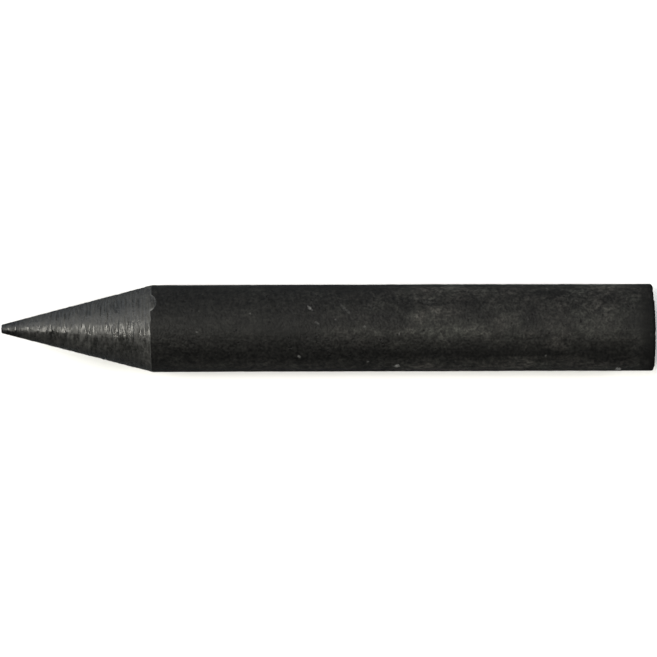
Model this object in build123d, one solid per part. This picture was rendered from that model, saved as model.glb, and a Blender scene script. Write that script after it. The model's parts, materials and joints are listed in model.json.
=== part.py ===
from build123d import *
import os

# A round stick of compressed drawing charcoal. It lies along X on the plane z = 0, with its sharpened tip
# towards -X and its square-cut butt towards +X. All sizes are in millimetres.

# Driving dimensions
stick_length = 75.0
stick_diameter = 10.0
cone_length = 17.35  # from the tip to the edge where the full diameter begins
tip_flat_diameter = 1.04  # the point is worn blunt
tip_edge_radius = 0.15
butt_edge_radius = 0.2

# Derived places along the axis, with the origin below the middle of the stick
body_radius = stick_diameter / 2
tip_radius = tip_flat_diameter / 2
tip_x = -stick_length / 2
butt_x = stick_length / 2
shoulder_x = tip_x + cone_length


def half_outline():
    """The closed half section above the stick's own axis, which runs along X."""
    with BuildSketch() as section:
        with BuildLine():
            Polyline(
                (tip_x, 0),
                (tip_x, tip_radius),
                (shoulder_x, body_radius),
                (butt_x, body_radius),
                (butt_x, 0),
                close=True,
            )
        make_face()
        off_axis = section.vertices().filter_by(lambda corner: corner.Y > tip_radius / 2)
        along_x = off_axis.sort_by(Axis.X)
        fillet(along_x[0], tip_edge_radius)
        fillet(along_x[-1], butt_edge_radius)
    return section.sketch


def charcoal_stick():
    """The whole stick: the half outline turned about its axis, then raised to lie on z = 0."""
    solid = revolve(half_outline(), axis=Axis.X, revolution_arc=360)
    return Pos(0, 0, body_radius) * solid


os.makedirs("parts", exist_ok=True)
export_step(charcoal_stick(), "parts/charcoal_stick.step")
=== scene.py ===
import bisect
import itertools
import json
import math
import random

import bmesh
import bpy
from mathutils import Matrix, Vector, noise


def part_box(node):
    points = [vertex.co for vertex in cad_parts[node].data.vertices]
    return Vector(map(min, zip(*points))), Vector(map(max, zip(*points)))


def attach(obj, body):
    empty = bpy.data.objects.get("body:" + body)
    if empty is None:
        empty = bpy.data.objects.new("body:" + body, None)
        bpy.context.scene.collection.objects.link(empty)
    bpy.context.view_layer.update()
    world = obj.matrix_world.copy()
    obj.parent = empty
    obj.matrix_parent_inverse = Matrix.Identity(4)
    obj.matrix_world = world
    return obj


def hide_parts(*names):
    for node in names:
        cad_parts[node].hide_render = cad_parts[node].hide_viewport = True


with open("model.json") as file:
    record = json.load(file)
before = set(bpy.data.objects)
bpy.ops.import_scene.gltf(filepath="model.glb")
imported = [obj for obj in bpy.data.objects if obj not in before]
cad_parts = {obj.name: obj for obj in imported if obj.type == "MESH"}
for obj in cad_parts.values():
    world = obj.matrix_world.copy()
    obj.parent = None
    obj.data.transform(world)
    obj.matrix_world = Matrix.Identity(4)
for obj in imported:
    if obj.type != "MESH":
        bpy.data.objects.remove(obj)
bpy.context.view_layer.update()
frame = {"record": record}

# A stick of compressed charcoal. Its mesh is made as a flat sheet, worked over and rolled up into one closed
# skin. Lengths are in millimetres until the mesh is finished. Turns go round the stick, from the top towards
# +Y. The letter s stands for the distance along the stick's outline, from the middle of the tip.
MM = 0.001
NODE = "charcoal_stick"

# ---------------------------------------------------------------- sizes that come from the CAD model
low, high = [Vector(corner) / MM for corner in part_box(NODE)]
body_mount = next(mount for mount in frame["record"]["mounts"] if mount["name"] == "body")
RADIUS = body_mount["dims"]["r_mm"]
AXIS_Z = body_mount["pos_m"][2] / MM
TIP_X = low.x
BUTT_X = high.x
SHOULDER_X = body_mount["pos_m"][0] / MM - body_mount["dims"]["length_mm"] / 2
GIRTH = 2 * math.pi * RADIUS

# ---------------------------------------------------------------- the ends
TIP_RADIUS = 0.52
TIP_ROUNDING = 0.15
BUTT_ROUNDING = 0.28
BUTT_SKEW = 0.0157  # the saw ran a little off square
BUTT_SETBACK = 0.1  # keeps the skewed end inside the stick's length
BUTT_SKEW_START = 6.0  # how far before the butt the skew begins
CONE_SLOPE = (RADIUS - TIP_RADIUS) / (SHOULDER_X - TIP_X)

# Where the cut runs a little further into the body, in a lobe like a fingernail
LOBE_TURN = math.radians(37)
LOBE_HALF = math.radians(13.5)
LOBE_REACH = 0.64
LOBE_START = 0.8  # how far back on the cone it begins
SHOULDER_REACH = 1.6  # how far either side of the shoulder the mesh moves with it

# Deep cutting rings on the cone, as (distance from the tip, depth)
CUT_RINGS = [
    (8.3, 0.02),
    (9.4, 0.026),
    (11.9, 0.022),
    (12.8, 0.032),
    (13.4, 0.035),
    (14.0, 0.026),
    (15.0, 0.032),
]
CUT_RING_WIDTH = 0.1
CALM_LENGTH = 9.0  # the cone's relief grows over this length from the tip

# How far along the outline each relief takes to fade in, or to turn into the next one
TIP_BLEND = 0.5
CONE_FADE = 0.25
BODY_FADE = 0.3
BUTT_BLEND = 0.5

# Chips in the butt's rim
CHIP_ZONE = 1.0  # how far before the rim they may reach
CHIP_SPREAD = 2.2  # how much wider than deep they are
CHIP_SHARE = 0.75  # how much of its depth a chip takes off the side, and off the end
CHIP_FRESH = 0.35

# The low lip pushed up round a mark. A mark's own distance is 0 in its middle and 1 on its edge.
LIP_HEIGHT = 0.18  # in depths of the mark
LIP_CREST = 1.2
LIP_WIDTH = 0.15
LIP_END = 1.6
MARK_FRINGE = 0.15  # room for a mark's ragged edge

# Painted highlight where the cone meets the body: a thin pale line on its freshly cut edge, and one painted
# glint on the lobe
BURR_FRESH_HIGHLIGHT = 0.3
BURR_WIDTH = 0.11
GLINT_WIDTH = 0.2
GLINT_PLACE = -0.85  # on the lobe, which runs from -1 to 1
GLINT_SPREAD = 0.15

# Dust that handling has rubbed in, more of it from the middle on towards the butt
DUST_LEAST = 0.16
DUST_MORE = 0.28
HANDLED_FROM = -2.0
HANDLED_TO = 9.0

# ---------------------------------------------------------------- mesh density
COLUMNS = 120  # round the stick
BODY_STEP = 0.27
CONE_STEP = 0.13
FACE_STEP = 0.26
TIP_STEP = 0.11
EDGE_STEP = 0.08
ARC_STEPS = 6  # points on each rounded edge of the outline
SHOULDER_DETAIL = (0.9, 0.4)  # how near the shoulder the mesh is cut finer: once, and once more
BUTT_DETAIL = 0.5  # how far before the butt's rim it is cut finer
FACE_PLAIN = 1.2  # how far from the middle of the butt it stays coarse
MARK_MARGIN = 0.2
WELD = 1e-5  # points nearer than this are one point

# ---------------------------------------------------------------- camera and light
CAMERA_DISTANCE = 475.0
VIEW_WIDTH = 75.6  # how much the picture takes in from side to side, at the height of the stick's axis
AIM_X = 0.13  # where the camera stands over the stick
AIM_Y = -0.05
ROLL = math.radians(-0.154)
WORLD_TOWARDS = (-0.79, 0.59, 0.12)  # the side that the studio is light on
WORLD_DIM = 0.11
WORLD_LIGHT = 1.4
WORLD_FALL = 3.0  # how quickly the light side fades
WORLD_COLOUR = (0.86, 0.93, 1.0)
BACKDROP = (1.0, 1.0, 1.0)
FLOOR_HALF = 30.0  # in metres


# ---------------------------------------------------------------- wear, as patches of the body's skin
class Patch:
    """A leaning patch: x along the stick, turn in degrees, and half sizes along and across its lean."""

    def __init__(self, x, turn, half_long, half_wide, lean=0.0):
        self.x = x
        self.arc = math.radians(turn) * RADIUS
        self.half_long = half_long
        self.half_wide = half_wide
        self.cos = math.cos(math.radians(lean))
        self.sin = math.sin(math.radians(lean))
        self.reach = max(half_long, half_wide)

    def offsets(self, x, arc):
        """Millimetres along and across the patch from its middle."""
        dx = x - self.x
        da = (arc - self.arc + GIRTH / 2) % GIRTH - GIRTH / 2
        return dx * self.cos + da * self.sin, da * self.cos - dx * self.sin


class Mark(Patch):
    """A nick, dent or scratch, of some length, width and depth. Its freshness is how pale its broken surface
    is painted, partly for the paler freshly broken charcoal and partly as a painted glint on its facets, and
    bow how far its middle lies off a straight line."""

    def __init__(self, x, turn, length, width, depth, lean=0.0, fresh_and_glint=1.0, bow=0.0):
        super().__init__(x, turn, length / 2, width / 2, lean)
        self.depth = depth
        self.fresh_and_glint = fresh_and_glint
        self.bow = bow
        self.reach += abs(bow) + MARK_FRINGE

    def distance(self, x, arc):
        """0 in the middle, and 1 on the edge."""
        along, across = self.offsets(x, arc)
        along /= self.half_long
        across -= self.bow * (1 - along * along)
        return math.hypot(along, across / self.half_wide)

    def is_near(self, x, arc, margin):
        along, across = self.offsets(x, arc)
        return abs(along) < self.half_long + margin and abs(across - self.bow / 2) < self.half_wide + margin


class DustAndShadePatch(Patch):
    """A soft patch that adds an amount to how dusty the body is painted, or takes it off where the amount is
    negative: charcoal powder worked in or wiped off, and long bands along the flanks of painted light and
    painted shade.
    """

    def __init__(self, x, turn, half_long, half_wide, amount, lean=0.0):
        super().__init__(x, turn, half_long, half_wide, lean)
        self.amount = amount

    def at(self, x, arc):
        if abs(x - self.x) > 2 * self.reach:
            return 0.0
        along, across = self.offsets(x, arc)
        distance = math.hypot(along / self.half_long, across / self.half_wide)
        return self.amount * math.exp(-(distance ** 3))


def top_marks():
    # Each mark's freshness paints it pale: partly freshly broken charcoal, partly a painted glint on its
    # facets.
    return [
        Mark(-2.05, 27.5, 0.76, 0.36, 0.07, lean=-50, fresh_and_glint=0.45),
        Mark(-1.75, 24.0, 0.34, 0.22, 0.04, lean=-35, fresh_and_glint=0.2),
        Mark(-3.25, -40.5, 0.54, 0.30, 0.05, lean=-62, fresh_and_glint=0.6),
        Mark(-1.2, 6.5, 0.6, 0.42, 0.03, lean=-30, fresh_and_glint=0.16),
        Mark(0.9, 11.0, 0.36, 0.30, 0.04, fresh_and_glint=0.18),
        Mark(2.05, 28.0, 2.2, 0.4, 0.02, lean=-47, fresh_and_glint=0.09, bow=-0.2),
        Mark(4.25, 2.0, 0.36, 0.26, 0.04, lean=70, fresh_and_glint=0.2),
        Mark(4.65, -50.5, 0.40, 0.40, 0.04, fresh_and_glint=0.25),
        Mark(7.95, -61.0, 0.80, 0.75, 0.09, lean=18, fresh_and_glint=1.0),
        Mark(8.15, -8.2, 0.36, 0.22, 0.04, lean=75, fresh_and_glint=0.28),
        Mark(11.4, 37.0, 2.0, 0.50, 0.13, lean=-8, fresh_and_glint=0.06, bow=-0.22),
        Mark(-8.8, 19.5, 0.24, 0.24, 0.03, fresh_and_glint=0.2),
        Mark(-14.9, -4.6, 0.28, 0.22, 0.04, fresh_and_glint=0.28),
        Mark(24.9, -40.0, 0.38, 0.24, 0.04, lean=60, fresh_and_glint=0.2),
        Mark(22.6, 10.0, 0.90, 0.50, 0.05, lean=80, fresh_and_glint=0.0),
        Mark(33.4, -76.0, 0.75, 1.60, 0.12, lean=10, fresh_and_glint=1.0),
    ]


def underside_marks(count, seed):
    """Marks of the same kinds on the rest of the body, scattered but always the same."""
    dice = random.Random(seed)
    return [
        Mark(
            dice.uniform(SHOULDER_X + 1.5, BUTT_X - 1.5),
            dice.uniform(85, 275),
            dice.uniform(0.3, 1.1),
            dice.uniform(0.18, 0.42),
            dice.uniform(0.03, 0.08),
            lean=dice.uniform(-80, 80),
            fresh_and_glint=dice.uniform(0.05, 0.7),
            bow=dice.uniform(-0.12, 0.12),
        )
        for _ in range(count)
    ]


def top_dust_and_shade_patches():
    return [
        DustAndShadePatch(8.6, 17.0, 1.5, 0.22, 1.3, lean=-49),
        DustAndShadePatch(11.8, 17.0, 2.5, 1.1, 1.1),
        DustAndShadePatch(14.2, -5.0, 4.6, 0.7, 1.1),
        DustAndShadePatch(7.2, 9.0, 1.9, 0.95, -2.0),
        DustAndShadePatch(7.4, -5.0, 2.0, 0.25, 0.7),
        DustAndShadePatch(11.6, 42.0, 1.0, 0.25, 0.9, lean=-8),
        DustAndShadePatch(12.0, 34.0, 1.2, 0.28, -1.5, lean=-8),
        DustAndShadePatch(3.0, -6.0, 4.0, 0.8, 0.4),
        DustAndShadePatch(23.2, 12.0, 0.6, 0.9, -0.9),
        DustAndShadePatch(25.5, 52.0, 2.0, 0.6, -1.1),
        DustAndShadePatch(20.3, 10.0, 1.6, 1.1, 0.25),
        DustAndShadePatch(31.5, 22.0, 2.2, 0.9, 0.4),
        DustAndShadePatch(28.0, -4.0, 3.0, 0.8, 0.25),
        # Long bands along the flanks: this one at turn -36 takes the dusty colour off as painted shade; those
        # at -64 and -66 add it as painted light.
        DustAndShadePatch(8.0, -36.0, 26.0, 0.5, -0.6),
        DustAndShadePatch(20.0, 58.0, 15.0, 1.3, 0.5),
        DustAndShadePatch(24.0, -64.0, 15.0, 1.4, 0.65),
        DustAndShadePatch(-6.0, -66.0, 14.0, 1.3, 0.35),
    ]


def underside_smudges(count, seed):
    """Smudges of the same kinds on the rest of the body."""
    dice = random.Random(seed)
    return [
        DustAndShadePatch(
            dice.uniform(SHOULDER_X, BUTT_X),
            dice.uniform(80, 280),
            dice.uniform(0.8, 4.5),
            dice.uniform(0.4, 1.5),
            dice.choice((0.6, 0.5, 0.35, -0.5)),
            lean=dice.uniform(-50, 50),
        )
        for _ in range(count)
    ]


def rim_chips(count, seed):
    """Small pieces broken out of the butt's rim, as (turn in radians, half width in radians, depth)."""
    dice = random.Random(seed)
    return [
        (dice.uniform(-math.pi, math.pi), dice.uniform(0.25, 0.8) / RADIUS, dice.uniform(0.04, 0.13))
        for _ in range(count)
    ]


MARKS = top_marks() + underside_marks(count=26, seed=11)
DUST_AND_SHADE_PATCHES = top_dust_and_shade_patches() + underside_smudges(count=26, seed=8)
RIM_CHIPS = rim_chips(count=13, seed=4)


# ---------------------------------------------------------------- the outline that the surface follows
def arc_points(centre, radius, start, end):
    """Points on an arc in the outline's plane, with angles in degrees from +X towards the rim."""
    turns = [math.radians(start + (end - start) * i / ARC_STEPS) for i in range(ARC_STEPS + 1)]
    return [(centre[0] + radius * math.cos(turn), centre[1] + radius * math.sin(turn)) for turn in turns]


def outline():
    """(x, radius) from the middle of the tip, over the cone and the body, to the middle of the butt."""
    cone_angle = math.degrees(math.atan(CONE_SLOPE))
    tip_centre = (TIP_X + TIP_ROUNDING, TIP_RADIUS - TIP_ROUNDING)
    butt_centre = (BUTT_X - BUTT_ROUNDING, RADIUS - BUTT_ROUNDING)
    return [
        (TIP_X, 0.0),
        *arc_points(tip_centre, TIP_ROUNDING, 180, 90 + cone_angle),
        (SHOULDER_X, RADIUS),
        *arc_points(butt_centre, BUTT_ROUNDING, 90, 0),
        (BUTT_X, 0.0),
    ]


OUTLINE = outline()
DISTANCES = [0.0, *itertools.accumulate(math.dist(a, b) for a, b in zip(OUTLINE, OUTLINE[1:]))]
TIP_EDGE_S = DISTANCES[1]
TIP_SIDE_S = DISTANCES[1 + ARC_STEPS]
SHOULDER_S = DISTANCES[2 + ARC_STEPS]
BUTT_EDGE_S = DISTANCES[3 + ARC_STEPS]
BUTT_FACE_S = DISTANCES[3 + 2 * ARC_STEPS]
END_S = DISTANCES[-1]


def on_outline(s):
    """(x, radius, outward x, outward radius) at the distance s along the outline."""
    after = min(max(bisect.bisect_left(DISTANCES, s), 1), len(OUTLINE) - 1)
    x0, r0 = OUTLINE[after - 1]
    x1, r1 = OUTLINE[after]
    run = DISTANCES[after] - DISTANCES[after - 1]
    share = (s - DISTANCES[after - 1]) / run
    return x0 + (x1 - x0) * share, r0 + (r1 - r0) * share, (r0 - r1) / run, (x1 - x0) / run


def smooth(start, end, value):
    """0 up to start, 1 from end, and smooth between."""
    share = min(max((value - start) / (end - start), 0.0), 1.0)
    return share * share * (3 - 2 * share)


def nearness(distance, reach):
    """1 at no distance, falling to 0 at the reach."""
    return max(0.0, 1 - distance / reach)


def bell(distance, width):
    """1 at no distance, falling softly and never quite to 0."""
    return math.exp(-((distance / width) ** 2))


# ---------------------------------------------------------------- relief
def turned(angle, radius):
    """A point on a circle, so that noise that goes round the stick has no seam."""
    return math.cos(angle) * radius, math.sin(angle) * radius


def ripple(amount, *place):
    """Smooth noise from about -amount to amount. One unit of the place holds about one lump."""
    return amount * noise.noise(Vector(place))


def rough_ripple(amount, roughness, *place):
    """The same with finer noise on top, on three scales."""
    return amount * noise.fractal(Vector(place), roughness, 2.0, 3)


def body_swell(x, angle):
    """How far the moulded body is out of round, which also makes the shoulder line wander."""
    y, z = turned(angle, 1.6)
    slow = ripple(0.022, x / 14, y, z)
    y, z = turned(angle, 4.5)
    return slow + ripple(0.02 * bell(x - SHOULDER_X, 2.5), 3.1, y, z)


def body_relief(x, angle):
    """Moulding lines along the stick, soft lumps and fine grain."""
    y, z = turned(angle, RADIUS)
    lumps = rough_ripple(0.016, 0.8, x / 2.2, y / 1.6, z / 1.6)
    grain = ripple(0.007, x / 0.42, y / 0.42, z / 0.42)
    lines = ripple(0.006, x / 22, y / 0.5, z / 0.5)
    return lumps + grain + lines


def cone_relief(x, angle):
    """Rings and chatter that the blade left, each one fading in and out round the cone."""
    y, z = turned(angle, 1.0)
    rings = ripple(0.034, x / 0.36, y * 3, z * 3)
    bands = ripple(0.030, x / 0.9 + 7, y * 1.5, z * 1.5)
    facets = ripple(0.014, x / 7, y * 2.2 + 5, z * 2.2)
    grain = ripple(0.008, x / 0.4, y * 6, z * 6)
    height = (0.3 + 0.7 * smooth(TIP_X, TIP_X + CALM_LENGTH, x)) * (rings + bands + facets + grain)
    for distance, depth in CUT_RINGS:
        wander = ripple(0.12, distance, y, z)
        part = smooth(-0.25, 0.3, ripple(1.0, distance * 3, y * 2.4, z * 2.4))
        height -= depth * part * bell(x - TIP_X - distance + wander, CUT_RING_WIDTH)
    return height


def face_relief(angle, radius):
    """The butt was sawn: shallow parallel tracks, crumbled grain and soft hollows."""
    y, z = turned(angle, radius)
    tracks = ripple(0.022, y * 3.1 + z * 1.2, (z * 3.1 - y * 1.2) * 0.12, 2.0)
    lumps = rough_ripple(0.035, 0.7, y / 1.5, z / 1.5, 9.0)
    grain = ripple(0.018, y / 0.33, z / 0.33, 4.0)
    return tracks + lumps + grain


def tip_relief(angle, radius):
    """The point is worn down unevenly, with a fine crumble on it."""
    y, z = turned(angle, radius)
    return ripple(0.05, y * 2.5, z * 2.5, 1.0) + ripple(0.02, y * 8, z * 8, 6.0)


def mark_relief(x, angle):
    """(height, freshness) that the marks leave at a point of the body. The freshness paints a mark pale,
    partly for freshly broken charcoal and partly as a painted glint.
    """
    arc = angle * RADIUS
    height = 0.0
    fresh_and_glint = 0.0
    for mark in MARKS:
        if abs(x - mark.x) > mark.reach:
            continue
        ragged = 1 + ripple(0.6, x * 5, arc * 5, mark.x)
        distance = mark.distance(x, arc) / ragged
        if distance < 1:
            height -= mark.depth * (1 - distance * distance) ** 0.8
            fresh_and_glint = max(fresh_and_glint, mark.fresh_and_glint * smooth(1.0, 0.6, distance))
        elif distance < LIP_END:
            height += LIP_HEIGHT * mark.depth * bell(distance - LIP_CREST, LIP_WIDTH)
    return height, fresh_and_glint


def rim_depth(angle, s):
    """How much is gone from the butt's rim."""
    from_rim = max(0.0, abs(s - (BUTT_EDGE_S + BUTT_FACE_S) / 2) - BUTT_ROUNDING)
    gone = 0.0
    for turn, half, depth in RIM_CHIPS:
        off = (angle - turn + math.pi) % (2 * math.pi) - math.pi
        share = (off / half) ** 2 + (from_rim / (CHIP_SPREAD * depth)) ** 2
        if share < 1:
            gone = max(gone, depth * (1 - share) ** 0.7)
    return gone


def lobe_reach(angle):
    """How far the lobe of the cut runs past the shoulder."""
    turn = (angle - LOBE_TURN) / LOBE_HALF
    return LOBE_REACH * max(1 - turn * turn, 0.0) ** 0.8


def shoulder_shift(angle):
    """How far the corner between cone and body lies from its mean place, along the stick. The body's swell
    depends on the shift itself, so a few rounds bring the two together."""
    shift = 0.0
    for _ in range(4):
        shift = body_swell(SHOULDER_X + shift, angle) / CONE_SLOPE
    return shift


def shoulder_burr_and_glint(angle, back):
    """How pale the cone's edge is painted: a thin broken line, partly its freshly cut edge and partly painted
    highlight, and one painted glint at the end of the lobe.
    """
    broken = 0.5 + ripple(1.2, 1.0, angle * 4, 8.0)
    line = BURR_FRESH_HIGHLIGHT * min(max(broken, 0.0), 1.0) * bell(back, BURR_WIDTH)
    glint = bell((angle - LOBE_TURN) / LOBE_HALF - GLINT_PLACE, GLINT_SPREAD) * bell(back, GLINT_WIDTH)
    return max(line, glint)


def dustiness_and_shading(x, angle):
    """How dusty the body is painted, from 0 to 1. The butt's half has been handled more. Long bands along the
    flanks add painted light and take it off as painted shade.
    """
    y, z = turned(angle, RADIUS)
    patchy = 0.5 + rough_ripple(0.9, 0.8, x / 5, y / 3, z / 3 + 4)
    handled = DUST_LEAST + DUST_MORE * smooth(HANDLED_FROM, HANDLED_TO, x)
    rubbed_and_shaded = sum(dust_shade_patch.at(x, angle * RADIUS) for dust_shade_patch in DUST_AND_SHADE_PATCHES)
    return min(max(handled * patchy + rubbed_and_shaded, 0.0), 1.0)


# ---------------------------------------------------------------- the surface
def surface_point(s, angle, shift):
    """The place of one point in millimetres, and its freshness from 0 to 1, which paints it pale for freshly
    broken surfaces and for painted glints.
    """
    x, radius, out_x, out_r = on_outline(s)
    fresh_and_glint = 0.0
    gone = 0.0
    if s < SHOULDER_S:
        back = SHOULDER_S - s
        moved = shift * nearness(back, SHOULDER_REACH)
        x += moved + lobe_reach(angle) * nearness(back, LOBE_START) ** 1.5
        radius += moved * CONE_SLOPE
        on_cone = smooth(TIP_SIDE_S, TIP_SIDE_S + TIP_BLEND, s)
        cut = on_cone * smooth(0.0, CONE_FADE, back) * cone_relief(x, angle)
        height = cut + (1 - on_cone) * tip_relief(angle, radius)
        fresh_and_glint = shoulder_burr_and_glint(angle, back)
    elif s < BUTT_EDGE_S:
        x += (shift + lobe_reach(angle)) * nearness(s - SHOULDER_S, SHOULDER_REACH)
        radius += body_swell(x, angle)
        nick, fresh_and_glint = mark_relief(x, angle)
        height = smooth(0.0, BODY_FADE, s - SHOULDER_S) * body_relief(x, angle) + nick
    else:
        on_face = smooth(BUTT_EDGE_S, BUTT_EDGE_S + BUTT_BLEND, s)
        height = (1 - on_face) * body_relief(x, angle) + on_face * face_relief(angle, radius)
        radius += body_swell(x, angle) * radius / RADIUS
    if s > BUTT_EDGE_S - CHIP_ZONE:
        gone = rim_depth(angle, s)
        fresh_and_glint = max(fresh_and_glint, CHIP_FRESH * smooth(0.0, 0.05, gone))
    x += out_x * height - CHIP_SHARE * gone
    radius = max(radius + out_r * height - CHIP_SHARE * gone, 0.0)
    y = radius * math.sin(angle)
    x -= smooth(BUTT_X - BUTT_SKEW_START, BUTT_X, x) * (BUTT_SETBACK + BUTT_SKEW * y)
    return Vector((x, y, AXIS_Z + radius * math.cos(angle))), fresh_and_glint


def rows():
    """Distances along the outline where the mesh has a row."""
    stretches = [
        (0.0, TIP_EDGE_S, TIP_STEP),
        (TIP_EDGE_S, TIP_SIDE_S, EDGE_STEP),
        (TIP_SIDE_S, SHOULDER_S, CONE_STEP),
        (SHOULDER_S, BUTT_EDGE_S, BODY_STEP),
        (BUTT_EDGE_S, BUTT_FACE_S, EDGE_STEP),
        (BUTT_FACE_S, END_S, FACE_STEP),
    ]
    result = []
    for start, end, step in stretches:
        count = max(1, round((end - start) / step))
        result += [start + (end - start) * i / count for i in range(count)]
    return [*result, END_S]


def wants_detail(s, arc, level):
    """Whether this place of the flat sheet is cut finer at level 0 or, finer still, at level 1."""
    if abs(s - SHOULDER_S) < SHOULDER_DETAIL[level]:
        return True
    if s < SHOULDER_S:
        return False
    if s > BUTT_EDGE_S - BUTT_DETAIL:
        return level == 0 and s < END_S - FACE_PLAIN
    x = SHOULDER_X + s - SHOULDER_S
    return any(
        abs(x - mark.x) < mark.reach + MARK_MARGIN and mark.is_near(x, arc, MARK_MARGIN)
        for mark in MARKS
    )


def flat_sheet():
    """The stick's surface unrolled: x is the distance along the outline and y the arc round the body."""
    sheet = bmesh.new()
    arcs = [(column / COLUMNS - 0.5) * GIRTH for column in range(COLUMNS + 1)]
    grid = [[sheet.verts.new((s, arc, 0)) for arc in arcs] for s in rows()]
    for row, following in zip(grid, grid[1:]):
        for column in range(COLUMNS):
            sheet.faces.new((row[column], following[column], following[column + 1], row[column + 1]))
    for level in range(len(SHOULDER_DETAIL)):
        edges = set()
        for face in sheet.faces:
            centre = face.calc_center_median()
            if wants_detail(centre.x, centre.y, level):
                edges.update(face.edges)
        bmesh.ops.subdivide_edges(sheet, edges=list(edges), cuts=1, use_grid_fill=True)
    return sheet


def assign_slots(sheet):
    """Material slots: 0 the moulded skin, 1 the cut cone, 2 the butt."""
    for face in sheet.faces:
        s = face.calc_center_median().x
        face.smooth = True
        face.material_index = 1 if s < SHOULDER_S else 2 if s > BUTT_EDGE_S else 0


def roll_up(sheet):
    """Rolls the flat sheet into the closed stick, with how pale each vertex is painted, for freshly broken
    surfaces and painted glints, and how dusty, with painted shade and light along the flanks.
    """
    fresh_and_glint_layer = sheet.verts.layers.float.new("fresh_and_glint")
    dust_and_shading_layer = sheet.verts.layers.float.new("dust_and_shading")
    shifts = {}
    for vert in sheet.verts:
        s, arc, _ = vert.co
        angle = min(arc, GIRTH / 2) / RADIUS
        if angle > math.pi - WELD:
            angle = -math.pi
        key = round(angle, 5)
        if key not in shifts:
            shifts[key] = shoulder_shift(angle)
        vert.co, vert[fresh_and_glint_layer] = surface_point(s, angle, shifts[key])
        vert[dust_and_shading_layer] = dustiness_and_shading(vert.co.x, angle)
    bmesh.ops.remove_doubles(sheet, verts=list(sheet.verts), dist=WELD)


def make_stick():
    """The one visible piece. It stands for the CAD solid, which it hides."""
    sheet = flat_sheet()
    assign_slots(sheet)
    roll_up(sheet)
    bmesh.ops.recalc_face_normals(sheet, faces=list(sheet.faces))
    bmesh.ops.scale(sheet, verts=list(sheet.verts), vec=(MM, MM, MM))
    mesh = bpy.data.meshes.new("charcoal")
    sheet.to_mesh(mesh)
    sheet.free()
    for make_material in (skin_material, cut_material, butt_material):
        mesh.materials.append(make_material())
    stick = bpy.data.objects.new("charcoal_body", mesh)
    bpy.context.scene.collection.objects.link(stick)
    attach(stick, "root")
    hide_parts(NODE)


# ---------------------------------------------------------------- materials
class Nodes:
    """Short calls for building a node tree. A value may be a number or the output of another node."""

    def __init__(self, tree):
        self.tree = tree

    def add(self, kind, **settings):
        node = self.tree.nodes.new(kind)
        for name, value in settings.items():
            setattr(node, name, value)
        return node

    def feed(self, socket, value):
        """Links the socket to another node's output, or sets it."""
        if isinstance(value, bpy.types.NodeSocket):
            self.tree.links.new(value, socket)
        else:
            socket.default_value = value

    def vector(self, operation, a, b):
        node = self.add("ShaderNodeVectorMath", operation=operation)
        self.feed(node.inputs[0], a)
        self.feed(node.inputs["Scale"] if operation == "SCALE" else node.inputs[1], b)
        return node.outputs["Value"] if operation == "DOT_PRODUCT" else node.outputs["Vector"]

    def math(self, operation, *values, clamp=False):
        node = self.add("ShaderNodeMath", operation=operation, use_clamp=clamp)
        for socket, value in zip(node.inputs, values):
            self.feed(socket, value)
        return node.outputs[0]

    def ramp(self, value, start, end, low=0.0, high=1.0):
        """low up to start, high from end, and smooth between."""
        node = self.add("ShaderNodeMapRange", interpolation_type="SMOOTHSTEP")
        for socket, given in zip(node.inputs, (value, start, end, low, high)):
            self.feed(socket, given)
        return node.outputs["Result"]

    def total(self, *parts):
        """The sum of (value, weight) pairs."""
        result = 0.0
        for value, weight in parts:
            result = self.math("MULTIPLY_ADD", value, weight, result)
        return result

    def product(self, *factors):
        result = factors[0]
        for factor in factors[1:]:
            result = self.math("MULTIPLY", result, factor)
        return result

    def tint(self, colour, factor):
        """The colour made darker or lighter by a factor."""
        return self.vector("SCALE", colour, factor)

    def mix(self, share, a, b):
        """Colour a where the share is 0, and b where it is 1."""
        node = self.add("ShaderNodeMix", data_type="RGBA")
        self.feed(node.inputs[0], share)
        for socket, colour in ((node.inputs[6], a), (node.inputs[7], b)):
            self.feed(socket, (*colour, 1) if isinstance(colour, tuple) else colour)
        return node.outputs[2]


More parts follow.
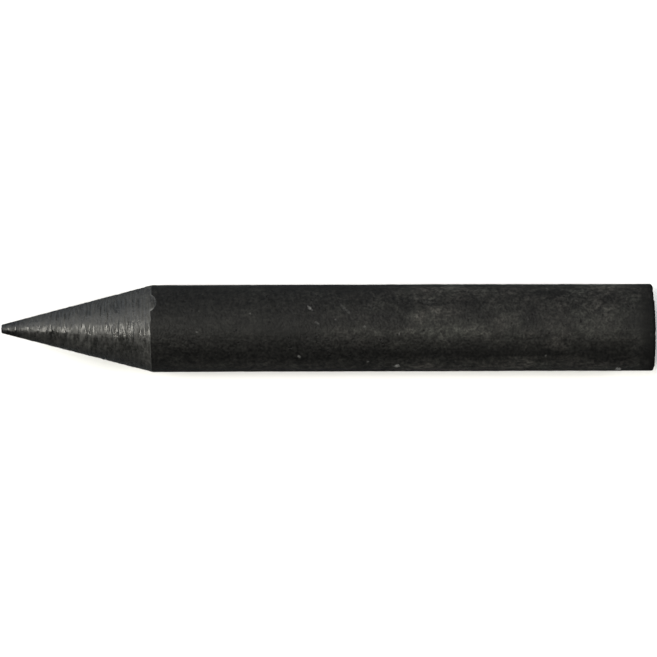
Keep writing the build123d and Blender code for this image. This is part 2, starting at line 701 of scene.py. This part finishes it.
class Paint(Nodes):
    """A material's nodes round its one Principled shader. Sizes are in millimetres."""

    def __init__(self, name):
        self.material = bpy.data.materials.new(name)
        self.material.use_nodes = True
        super().__init__(self.material.node_tree)
        self.shader = self.tree.nodes["Principled BSDF"]
        self.place = self.vector("SCALE", self.add("ShaderNodeTexCoord").outputs["Object"], 1 / MM)

    def noise(self, size, detail=2.0, stretch=(1, 1, 1), distort=0.0, rough=0.5):
        """Noise from 0 to 1 with lumps of about that size. A small stretch draws it out along that axis."""
        node = self.add("ShaderNodeTexNoise")
        self.feed(node.inputs["Vector"], self.vector("MULTIPLY", self.place, stretch))
        node.inputs["Scale"].default_value = 1 / size
        node.inputs["Detail"].default_value = detail
        node.inputs["Roughness"].default_value = rough
        node.inputs["Distortion"].default_value = distort
        return self.ramp(node.outputs["Fac"], 0.3, 0.7)

    def spots(self, cell, radius):
        """1 inside small round spots, one to a cell of about that size, and 0 between them."""
        node = self.add("ShaderNodeTexVoronoi", feature="F1")
        self.feed(node.inputs["Vector"], self.place)
        node.inputs["Scale"].default_value = 1 / cell
        return self.ramp(node.outputs["Distance"], radius / cell, 0.4 * radius / cell)

    def swing(self, value, amount):
        """A factor round 1 that follows noise from 0 to 1."""
        return self.math("MULTIPLY_ADD", value, 2 * amount, 1 - amount)

    def attribute(self, name):
        """One of the values that roll_up left on the vertices."""
        return self.add("ShaderNodeAttribute", attribute_name=name).outputs["Fac"]

    def nearing(self, x, far, close):
        """0 up to far from a place x along the stick, and 1 from close to it. Both are offsets towards +X."""
        along = self.vector("DOT_PRODUCT", self.place, (1, 0, 0))
        return self.ramp(along, x + far, x + close)

    def off_axis(self):
        """The distance from the stick's own axis."""
        flat = self.vector("MULTIPLY", self.vector("SUBTRACT", self.place, (0, 0, AXIS_Z)), (0, 1, 1))
        return self.math("SQRT", self.vector("DOT_PRODUCT", flat, flat))

    def finish(self, colour, rough, specular, height=None):
        """Feeds the shader and returns the material. The height is in millimetres."""
        if height:
            bump = self.add("ShaderNodeBump")
            bump.inputs["Distance"].default_value = MM
            self.feed(bump.inputs["Height"], height)
            self.feed(self.shader.inputs["Normal"], bump.outputs["Normal"])
        self.feed(self.shader.inputs["Base Color"], colour)
        self.feed(self.shader.inputs["Roughness"], rough)
        self.shader.inputs["Specular IOR Level"].default_value = specular
        return self.material


SKIN_BLACK = (0.0050, 0.0049, 0.0045)
DUST_AND_LIGHT_BROWN = (0.0300, 0.0280, 0.0252)
DUST_AND_LIGHT_OLIVE = (0.0274, 0.0278, 0.0244)
# Pale grey of freshly broken charcoal, also the painted highlight of glints on marks and at the shoulder.
FRESH_AND_GLINT_GREY = (0.130, 0.130, 0.126)
CUT_BLACK = (0.0110, 0.0108, 0.0098)
CUT_GREY = (0.0240, 0.0235, 0.0215)
TIP_BLACK = (0.0015, 0.0015, 0.0015)
SAWN_GREY = (0.0170, 0.0167, 0.0158)
# Painted shade for the rounding at the butt's rim.
RIM_PAINTED_SHADE = (0.0012, 0.0012, 0.0012)
PAPER = (0.92, 0.92, 0.92)


def skin_material():
    """The moulded outside: matt black with charcoal powder worked into it. Painted shade and light too: long
    bands along the flanks, darker pits, a black rim at the butt, and pale glints on marks.
    """
    paint = Paint("charcoal_skin")
    mottle = paint.noise(4.0, detail=3, stretch=(0.5, 1, 1))
    wisps = paint.noise(1.3, detail=3, stretch=(0.8, 1, 1), distort=0.8, rough=0.6)
    crumbs = paint.noise(0.55, detail=1, rough=0.6)
    grain = paint.noise(0.27, detail=1, rough=0.6)
    lines = paint.noise(0.5, stretch=(0.05, 1, 1))
    pits = paint.product(paint.spots(cell=0.75, radius=0.16), paint.ramp(paint.noise(2.5), 0.3, 0.85))
    specks = paint.product(paint.spots(cell=1.7, radius=0.13), paint.ramp(paint.noise(3.3), 0.5, 0.9))
    cloud = paint.total((wisps, 0.62), (crumbs, 0.35), (1.0, 0.1))
    # The dusty share, which also carries the bands of painted shade and painted light along the flanks.
    dust_and_shading = paint.math("MULTIPLY", paint.attribute("dust_and_shading"), cloud, clamp=True)
    fresh_and_glint = paint.attribute("fresh_and_glint")
    butt = paint.nearing(BUTT_X, far=-3.2, close=-0.2)
    # Where the rounding at the butt's rim is painted black as shade.
    rim = paint.nearing(BUTT_X, far=-0.9, close=-0.4)

    texture = paint.product(paint.swing(grain, 0.45), paint.swing(crumbs, 0.2))
    streaks = paint.product(paint.swing(mottle, 0.12), paint.swing(wisps, 0.15), paint.swing(lines, 0.15))
    skin = paint.tint(paint.tint(SKIN_BLACK, texture), streaks)
    dust_and_light_hue = paint.mix(paint.noise(2.6, detail=1), DUST_AND_LIGHT_BROWN, DUST_AND_LIGHT_OLIVE)
    colour = paint.mix(dust_and_shading, skin, paint.tint(dust_and_light_hue, texture))
    # Painted shade: the pits are painted darker, as hollows in shade.
    colour = paint.tint(colour, paint.ramp(pits, 0.0, 1.0, low=1.0, high=0.4))
    colour = paint.mix(paint.product(specks, 0.5), colour, DUST_AND_LIGHT_OLIVE)
    # Marks and chips painted pale: partly freshly broken charcoal, partly painted glint.
    colour = paint.mix(fresh_and_glint, colour, paint.tint(FRESH_AND_GLINT_GREY, paint.swing(grain, 0.4)))
    # Darker over the last 3 mm before the butt; the next line paints the rounding at the rim black, as
    # painted shade.
    colour = paint.tint(colour, paint.ramp(butt, 0.0, 1.0, low=1.0, high=0.3))
    colour = paint.mix(rim, colour, RIM_PAINTED_SHADE)

    rough = paint.total(
        (dust_and_shading, 0.2), (grain, 0.15), (mottle, -0.1), (fresh_and_glint, -0.15), (pits, 0.2), (butt, 0.3), (1.0, 0.5)
    )
    height = paint.total(
        (grain, 0.014), (crumbs, 0.014), (wisps, 0.012), (lines, 0.006), (pits, -0.05), (specks, 0.02)
    )
    return paint.finish(colour, rough, specular=0.155, height=height)


def cut_material():
    """The cone: the blade has burnished it in short ticks round the stick."""
    paint = Paint("charcoal_cut")
    rings = paint.noise(0.34, detail=1, stretch=(1, 0.15, 0.15))
    chatter = paint.noise(0.3, detail=1, stretch=(1, 0.3, 0.3))
    bands = paint.noise(1.1, stretch=(1, 0.25, 0.25))
    smears = paint.noise(1.6, detail=3, distort=0.8)
    grain = paint.noise(0.27, detail=1, rough=0.6)
    shoulder = paint.nearing(SHOULDER_X, far=-3.4, close=-0.3)
    tip = paint.nearing(TIP_X, far=4.5, close=0.5)

    paleness = paint.total((bands, 0.5), (shoulder, 0.2), (smears, 0.4), (1.0, -0.15))
    colour = paint.mix(paleness, CUT_BLACK, CUT_GREY)
    colour = paint.mix(tip, colour, TIP_BLACK)
    colour = paint.tint(colour, paint.product(paint.swing(rings, 0.15), paint.swing(chatter, 0.2)))
    colour = paint.tint(colour, paint.swing(grain, 0.3))
    # The shoulder's edge line and its glint painted pale: painted highlight, partly its freshly cut edge.
    colour = paint.mix(paint.attribute("fresh_and_glint"), colour, FRESH_AND_GLINT_GREY)

    rough = paint.total(
        (rings, 0.1), (chatter, 0.3), (grain, 0.1), (bands, 0.08), (smears, 0.1), (shoulder, 0.1), (tip, 0.08)
    )
    height = paint.total((rings, 0.024), (chatter, 0.028), (bands, 0.03), (grain, 0.008))
    return paint.finish(colour, rough, specular=0.36, height=height)


def butt_material():
    """The sawn end: crumbly and matt, with painted shade on the rounding of its rim."""
    paint = Paint("charcoal_butt")
    lumps = paint.noise(0.9, detail=4, rough=0.6)
    grain = paint.noise(0.2, detail=3, rough=0.7)
    pits = paint.spots(cell=0.8, radius=0.2)
    # Painted shade: the outer ring of the end face, on the rounding of the rim, is painted black.
    rim = paint.ramp(paint.off_axis(), RADIUS - 0.4, RADIUS - 0.2)

    colour = paint.mix(rim, SAWN_GREY, RIM_PAINTED_SHADE)
    colour = paint.tint(colour, paint.product(paint.swing(lumps, 0.4), paint.swing(grain, 0.5)))
    colour = paint.mix(paint.product(paint.attribute("fresh_and_glint"), 0.3), colour, DUST_AND_LIGHT_BROWN)
    # Painted shade: the pits are painted darker, as hollows in shade.
    colour = paint.tint(colour, paint.ramp(pits, 0.0, 1.0, low=1.0, high=0.5))

    rough = paint.total((lumps, 0.12), (grain, 0.15), (1.0, 0.7))
    height = paint.total((lumps, 0.03), (grain, 0.03), (pits, -0.06))
    return paint.finish(colour, rough, specular=0.12, height=height)


# ---------------------------------------------------------------- floor, light and camera
def make_floor():
    mesh = bpy.data.meshes.new("floor")
    corners = [(x * FLOOR_HALF, y * FLOOR_HALF, 0) for x, y in ((-1, -1), (1, -1), (1, 1), (-1, 1))]
    mesh.from_pydata(corners, [], [(0, 1, 2, 3)])
    mesh.materials.append(Paint("pale_paper").finish((*PAPER, 1), rough=0.9, specular=0.1))
    floor = bpy.data.objects.new("floor", mesh)
    bpy.context.scene.collection.objects.link(floor)
    floor.visible_glossy = False  # the stick's flanks stay dark, as between black cards


def make_sun(name, towards, strength, spread, colour):
    """A lamp far away. Towards is the way to it from the stick, and spread its width in degrees."""
    light = bpy.data.lights.new(name, "SUN")
    light.energy = strength
    light.angle = math.radians(spread)
    light.color = colour
    sun = bpy.data.objects.new(name, light)
    sun.rotation_euler = Vector(towards).to_track_quat("Z", "Y").to_euler()
    bpy.context.scene.collection.objects.link(sun)


def make_world():
    """A studio that is light on one side, with an even pale backdrop."""
    world = bpy.data.worlds.new("studio")
    bpy.context.scene.world = world
    world.use_nodes = True
    nodes = Nodes(world.node_tree)
    facing = nodes.vector("DOT_PRODUCT", nodes.add("ShaderNodeTexCoord").outputs["Generated"], WORLD_TOWARDS)
    lit = nodes.math("POWER", nodes.math("MAXIMUM", facing, 0.0), WORLD_FALL)
    strength = nodes.math("MULTIPLY_ADD", lit, WORLD_LIGHT, WORLD_DIM)
    seen = nodes.add("ShaderNodeLightPath").outputs["Is Camera Ray"]
    shown = nodes.mix(seen, nodes.tint(WORLD_COLOUR, strength), BACKDROP)
    nodes.feed(world.node_tree.nodes["Background"].inputs["Color"], shown)


def make_camera():
    """The camera looks straight down, from far off."""
    data = bpy.data.cameras.new("camera")
    data.lens = data.sensor_width * CAMERA_DISTANCE / VIEW_WIDTH
    data.clip_start = 0.01
    data.clip_end = 100
    camera = bpy.data.objects.new("camera", data)
    camera.location = Vector((AIM_X, AIM_Y, AXIS_Z + CAMERA_DISTANCE)) * MM
    camera.rotation_euler = (0, 0, ROLL)
    bpy.context.scene.collection.objects.link(camera)
    bpy.context.scene.camera = camera


make_stick()
make_floor()
make_sun("key", towards=(-0.49, -0.05, 0.87), strength=2.5, spread=28, colour=(1.0, 0.975, 0.88))
make_sun("fill", towards=(-0.48, 0.42, 0.77), strength=1.55, spread=60, colour=(1.0, 0.99, 0.96))
make_sun("side", towards=(0.75, 0.0, 0.66), strength=1.8, spread=20, colour=(1.0, 0.98, 0.95))
make_world()
make_camera()
bpy.context.scene.view_settings.view_transform = "Standard"
